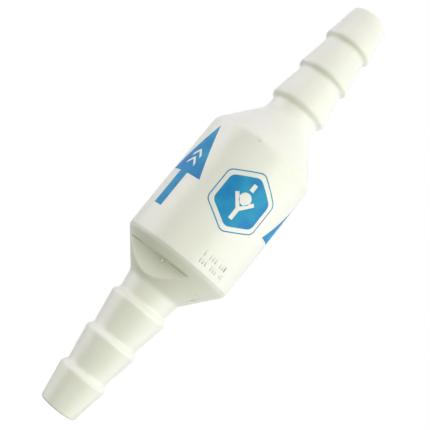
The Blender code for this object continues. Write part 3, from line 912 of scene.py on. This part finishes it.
def spring_height(turn_count):
    """Height of the spring wire's centre above its lowest place, after a number of turns."""
    low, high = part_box("return_spring")
    usable = high.z - low.z - 2 * SPRING_WIRE
    pitch = (usable - 2 * SPRING_END_TURNS * SPRING_END_PITCH) / SPRING_ACTIVE_TURNS
    active = min(max(turn_count - SPRING_END_TURNS, 0), SPRING_ACTIVE_TURNS)
    closed = turn_count - active
    return closed * SPRING_END_PITCH + active * pitch


def make_spring(steel):
    """The return spring, with closed turns at both ends. It is made at one length and does not shorten
    as the poppet lifts.
    """
    low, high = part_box("return_spring")
    radius = high.x - SPRING_WIRE
    turns = SPRING_ACTIVE_TURNS + 2 * SPRING_END_TURNS
    count = round(turns * SPRING_STEPS)
    points = []
    for step in range(count + 1):
        turn_count = turns * step / count
        angle = math.tau * turn_count
        height = low.z + SPRING_WIRE + spring_height(turn_count)
        points.append((radius * math.cos(angle), radius * math.sin(angle), height))
    spring = wire("fine_return_spring", points, SPRING_WIRE)
    settle(spring, "root", steel, "steel", "return_spring")
    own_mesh(spring)


def make_lock_ring(steel):
    """The open ring of round wire in the housing's groove."""
    low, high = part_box("guide_lock_ring")
    thickness = (high.z - low.z) / 2
    radius = high.x - thickness
    points = []
    for step in range(LOCK_RING_STEPS + 1):
        angle = LOCK_RING_SWEEP * (step / LOCK_RING_STEPS - 0.5)
        points.append((radius * math.cos(angle), radius * math.sin(angle), (low.z + high.z) / 2))
    ring = wire("fine_guide_lock_ring", points, thickness)
    settle(ring, "root", steel, "steel", "guide_lock_ring")


def make_cut_pieces(materials):
    """Copies of the nodes that aren't turned, with their sharp edges broken."""
    for node, (body, slot) in CUT_PIECES.items():
        bm = bmesh.new()
        bm.from_mesh(frame["nodes"][node].data)
        bmesh.ops.remove_doubles(bm, verts=bm.verts, dist=1e-7)
        bmesh.ops.dissolve_limit(bm, verts=bm.verts, edges=bm.edges, angle_limit=math.radians(1))
        sharp = [e for e in bm.edges if e.is_manifold and e.calc_face_angle() > CUT_BEND]
        bmesh.ops.bevel(bm, geom=sharp, offset=CUT_EDGE, segments=2, profile=0.5, affect="EDGES")
        mesh = bpy.data.meshes.new("fine_" + node)
        bm.to_mesh(mesh)
        bm.free()
        piece = finish_mesh("fine_" + node, mesh)
        mesh.set_sharp_from_angle(angle=math.radians(35))
        settle(piece, body, materials[slot], slot, node)


def dress_cad_nodes(materials):
    """The remaining CAD nodes keep their shape and take their slot's material."""
    slots = {part["node"]: part["material_slot"] for part in frame["record"]["subparts"]}
    for name, node in frame["nodes"].items():
        node.data.materials.clear()
        node.data.materials.append(materials[slots[name]])


# ---------------------------------------------------------------- stage

def make_floor():
    """A pale floor that glows a little and stays out of the valve's light."""
    bpy.ops.mesh.primitive_plane_add(size=FLOOR_SIZE, location=(0, 0, -FLOOR_DEPTH))
    floor = bpy.context.object
    floor.name = "floor"
    floor.visible_diffuse = False
    floor.visible_glossy = False
    floor.visible_transmission = False
    material, tree, shader = new_material("pale_floor", 0.9)
    shader.inputs["Base Color"].default_value = (0.9, 0.9, 0.9, 1)
    shader.inputs["Emission Color"].default_value = (1, 1, 1, 1)
    shader.inputs["Emission Strength"].default_value = FLOOR_GLOW
    floor.data.materials.append(material)


def background(tree, colour=(1, 1, 1, 1)):
    """A plain background of one colour."""
    node = tree.nodes.new("ShaderNodeBackground")
    node.inputs["Color"].default_value = colour
    return node


def fill_light(tree, place):
    """The light that falls on the object: it runs from one colour below to another above."""
    fill = background(tree)
    split = tree.nodes.new("ShaderNodeSeparateXYZ")
    spread = tree.nodes.new("ShaderNodeMapRange")
    spread.inputs["From Min"].default_value = -1
    ramp = tree.nodes.new("ShaderNodeValToRGB")
    ramp.color_ramp.elements[0].color = FILL_BELOW
    ramp.color_ramp.elements[1].color = FILL_ABOVE
    tree.links.new(place.outputs["Generated"], split.inputs["Vector"])
    tree.links.new(split.outputs["Z"], spread.inputs["Value"])
    tree.links.new(spread.outputs["Result"], ramp.inputs["Fac"])
    tree.links.new(ramp.outputs["Color"], fill.inputs["Color"])
    return fill


def reflected_light(tree, place, path):
    """What shows in the gloss besides: darker behind the object than beside it."""
    reflected = background(tree, REFLECTED_COLOUR)
    facing = tree.nodes.new("ShaderNodeVectorMath")
    facing.operation = "DOT_PRODUCT"
    facing.inputs[1].default_value = (math.sin(CAMERA_AZIMUTH), -math.cos(CAMERA_AZIMUTH), 0)
    fade = tree.nodes.new("ShaderNodeMapRange")
    fade.inputs["From Min"].default_value = DARK_BEHIND
    fade.inputs["From Max"].default_value = BRIGHT_BESIDE
    fade.inputs["To Min"].default_value = DARKEST
    shown = tree.nodes.new("ShaderNodeMath")
    shown.operation = "MULTIPLY"
    tree.links.new(place.outputs["Generated"], facing.inputs[0])
    tree.links.new(facing.outputs["Value"], fade.inputs["Value"])
    tree.links.new(fade.outputs["Result"], shown.inputs[0])
    tree.links.new(path.outputs["Is Glossy Ray"], shown.inputs[1])
    tree.links.new(shown.outputs["Value"], reflected.inputs["Strength"])
    return reflected


def make_world():
    """White to the camera. It lights the object more from above.

    It shows brighter in the gloss, apart from what lies behind the object: that darkens the outline.
    """
    world = bpy.data.worlds.new("studio")
    bpy.context.scene.world = world
    world.use_nodes = True
    tree = world.node_tree
    tree.nodes.clear()
    place = tree.nodes.new("ShaderNodeTexCoord")
    path = tree.nodes.new("ShaderNodeLightPath")
    both = tree.nodes.new("ShaderNodeAddShader")
    mix = tree.nodes.new("ShaderNodeMixShader")
    out = tree.nodes.new("ShaderNodeOutputWorld")
    tree.links.new(fill_light(tree, place).outputs["Background"], both.inputs[0])
    tree.links.new(reflected_light(tree, place, path).outputs["Background"], both.inputs[1])
    tree.links.new(path.outputs["Is Camera Ray"], mix.inputs["Fac"])
    tree.links.new(both.outputs["Shader"], mix.inputs[1])
    tree.links.new(background(tree).outputs["Background"], mix.inputs[2])
    tree.links.new(mix.outputs["Shader"], out.inputs["Surface"])


def softbox(name, azimuth, elevation, width, height, power, colour):
    """An area light aimed at the valve's middle."""
    light = bpy.data.lights.new(name, "AREA")
    light.shape = "RECTANGLE"
    light.size = width
    light.size_y = height
    light.energy = power
    light.color = colour
    lamp = bpy.data.objects.new(name, light)
    bpy.context.scene.collection.objects.link(lamp)
    a, e = math.radians(azimuth), math.radians(elevation)
    away = Vector((math.sin(a) * math.cos(e), -math.cos(a) * math.cos(e), math.sin(e)))
    middle = (CAD_BOX[0] + CAD_BOX[1]) / 2
    lamp.location = middle + away * LIGHT_DISTANCE
    lamp.rotation_mode = "QUATERNION"
    lamp.rotation_quaternion = (-away).to_track_quat("-Z", "Y")
    return lamp


def make_lights():
    for name, settings in SOFTBOXES.items():
        lamp = softbox(name, *settings)
        lamp.visible_glossy = name not in OUT_OF_REFLECTIONS
        lamp.visible_diffuse = name not in IN_REFLECTIONS_ONLY
        lamp.visible_transmission = name not in IN_REFLECTIONS_ONLY


def make_camera():
    """Low and to the right of the front flat, rolled so that the valve leans to the right."""
    a = CAMERA_AZIMUTH
    place = Vector((CAMERA_DISTANCE * math.sin(a), -CAMERA_DISTANCE * math.cos(a), CAMERA_HEIGHT))
    aim = Vector((AIM_SIDE * math.cos(a), AIM_SIDE * math.sin(a), AIM_HEIGHT))
    data = bpy.data.cameras.new("camera")
    data.sensor_width = SENSOR_WIDTH
    data.lens = data.sensor_width / 2 / math.tan(CAMERA_FIELD / 2)
    data.clip_start = NEAREST_SEEN
    camera = bpy.data.objects.new("camera", data)
    bpy.context.scene.collection.objects.link(camera)
    camera.location = place
    camera.rotation_mode = "QUATERNION"
    level = (aim - place).to_track_quat("-Z", "Y")
    camera.rotation_quaternion = level @ Quaternion((0, 0, 1), CAMERA_ROLL)
    bpy.context.scene.camera = camera


def main():
    materials = make_materials()
    plastic = materials["white_plastic"]
    dress_cad_nodes(materials)
    housing_points, cap_points = make_shells(plastic)
    make_turned_pieces(materials)
    make_cut_pieces(materials)
    make_spring(materials["steel"])
    make_lock_ring(materials["steel"])
    make_print(materials["blue_ink"])
    make_tally_marks(plastic)
    make_parting_lines(plastic, housing_points, cap_points)
    make_pips(plastic)
    make_pin_marks(plastic)
    make_floor()
    make_world()
    make_lights()
    make_camera()
    bpy.context.scene.view_settings.view_transform = "Standard"


main()
